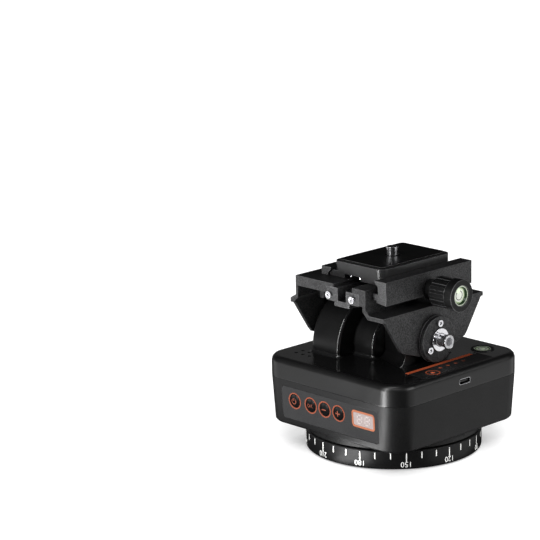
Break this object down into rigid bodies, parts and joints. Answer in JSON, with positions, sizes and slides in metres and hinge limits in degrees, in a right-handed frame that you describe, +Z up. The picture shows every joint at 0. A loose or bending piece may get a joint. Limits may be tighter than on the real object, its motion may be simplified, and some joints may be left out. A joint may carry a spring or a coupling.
{
  "type": "motorized pan tilt head",
  "caption": "Motorized camera head: square body panning on a round graduated disc, with a tilting bracket carrying a knob-tightened quick release clamp and plate.",
  "frame": {"origin": "centre of the pan disc's underside, on the pan axis", "axes": "+Z up along the pan axis, -Y out of the control panel, +X out of the charging inlet's side and along the tilt axis"},
  "size_m": [0.1, 0.1, 0.1092],
  "materials": {
    "satin_plastic": "satin moulded",
    "rubber": "matt",
    "steel": "turned",
    "white_plastic": "matt",
    "gear_plastic": "matt",
    "gloss_cover": "semi gloss",
    "panel_film": "satin film",
    "orange_print": "printed",
    "display_glass": "clear",
    "board_parts": "matt",
    "black_plastic": "satin",
    "green_vial": "clear",
    "bronze": "plain",
    "battery_wrap": "film",
    "board": "coated",
    "button_rubber": "satin",
    "anodised": "black anodised, fine grain",
    "chrome": "bright"
  },
  "bodies": {
    "base": {"base_disc": "satin_plastic", "base_pad": "rubber", "tripod_bush": "steel", "pan_spindle": "steel", "base_screws": "steel", "thrust_ring": "white_plastic", "pan_gear": "gear_plastic", "spindle_nut": "steel"},
    "head": {"lower_case": "satin_plastic", "upper_cover": "gloss_cover", "control_panel": "panel_film", "button_rings": "orange_print", "display_window": "display_glass", "display_frame": "orange_print", "display_module": "board_parts", "usb_socket": "steel", "usb_tongue": "black_plastic", "top_label": "panel_film", "accent_print": "orange_print", "indicator_leds": "orange_print", "level_bezel": "black_plastic", "level_vial": "green_vial", "case_screws": "steel", "pan_bush": "bronze", "pan_motor": "steel", "tilt_motor": "steel", "motor_screws": "steel", "battery_pack": "battery_wrap", "circuit_board": "board", "switch_board": "board", "tact_switches": "board_parts", "buzzer": "black_plastic", "tilt_bearings": "bronze"},
    "pan_pinion": {"pan_pinion": "gear_plastic"},
    "tilt_pinion": {"tilt_pinion": "gear_plastic"},
    "power_button": {"power_button": "button_rubber"},
    "mode_button": {"mode_button": "button_rubber"},
    "minus_button": {"minus_button": "button_rubber"},
    "plus_button": {"plus_button": "button_rubber"},
    "bracket": {"left_yoke": "anodised", "right_yoke": "anodised", "channel_bar": "anodised", "channel_screws": "chrome", "right_hub": "anodised", "left_hub": "anodised", "hub_screws": "chrome", "hub_washer": "chrome", "tilt_shaft": "steel", "tilt_gear": "gear_plastic", "fixed_jaw": "anodised", "guide_pins": "steel"},
    "jaw": {"moving_jaw": "anodised"},
    "knob": {"clamp_knob": "anodised", "knob_grip": "rubber", "knob_vial": "green_vial", "clamp_spindle": "steel"},
    "plate": {"quick_plate": "anodised", "plate_pad": "rubber", "stop_screws": "chrome"},
    "camera_screw": {"camera_screw": "steel"}
  },
  "joints": [
    {"name": "pan", "type": "hinge", "parent": "base", "child": "head", "pos_m": [0, 0, 0], "axis": [0, 0, 1], "range_deg": [-170, 170]},
    {"name": "tilt", "type": "hinge", "parent": "head", "child": "bracket", "pos_m": [0, 0, 0.064], "axis": [1, 0, 0], "range_deg": [-15, 15]},
    {"name": "pan_pinion_spin", "type": "hinge", "parent": "head", "child": "pan_pinion", "pos_m": [0.02546, 0.02546, 0], "axis": [0, 0, 1], "range_deg": [-520, 520]},
    {"name": "tilt_pinion_spin", "type": "hinge", "parent": "head", "child": "tilt_pinion", "pos_m": [0, -0.02121, 0.03872], "axis": [1, 0, 0], "range_deg": [-42, 42]},
    {"name": "power_press", "type": "slide", "parent": "head", "child": "power_button", "axis": [0, 0.9979, 0.0646], "range_m": [0, 0.0008], "stiffness_N_per_m": 400, "springref_m": -0.0006},
    {"name": "mode_press", "type": "slide", "parent": "head", "child": "mode_button", "axis": [0, 0.9979, 0.0646], "range_m": [0, 0.0008], "stiffness_N_per_m": 400, "springref_m": -0.0006},
    {"name": "minus_press", "type": "slide", "parent": "head", "child": "minus_button", "axis": [0, 0.9979, 0.0646], "range_m": [0, 0.0008], "stiffness_N_per_m": 400, "springref_m": -0.0006},
    {"name": "plus_press", "type": "slide", "parent": "head", "child": "plus_button", "axis": [0, 0.9979, 0.0646], "range_m": [0, 0.0008], "stiffness_N_per_m": 400, "springref_m": -0.0006},
    {"name": "jaw_slide", "type": "slide", "parent": "bracket", "child": "jaw", "axis": [1, 0, 0], "range_m": [0, 0.003]},
    {"name": "knob_turn", "type": "hinge", "parent": "jaw", "child": "knob", "pos_m": [0, 0, 0.0903], "axis": [1, 0, 0], "range_deg": [0, 730]},
    {"name": "plate_slide", "type": "slide", "parent": "bracket", "child": "plate", "axis": [0, 1, 0], "range_m": [-0.012, 0.012]},
    {"name": "camera_screw_turn", "type": "hinge", "parent": "plate", "child": "camera_screw", "pos_m": [0, 0, 0.1], "axis": [0, 0, 1], "continuous": true}
  ],
  "couplings": [
    {"joint": "pan_pinion_spin", "follows": "pan", "ratio": 3},
    {"joint": "tilt_pinion_spin", "follows": "tilt", "ratio": -2.6667},
    {"joint": "knob_turn", "follows": "jaw_slide", "rad_per_m": 4188.8}
  ]
}
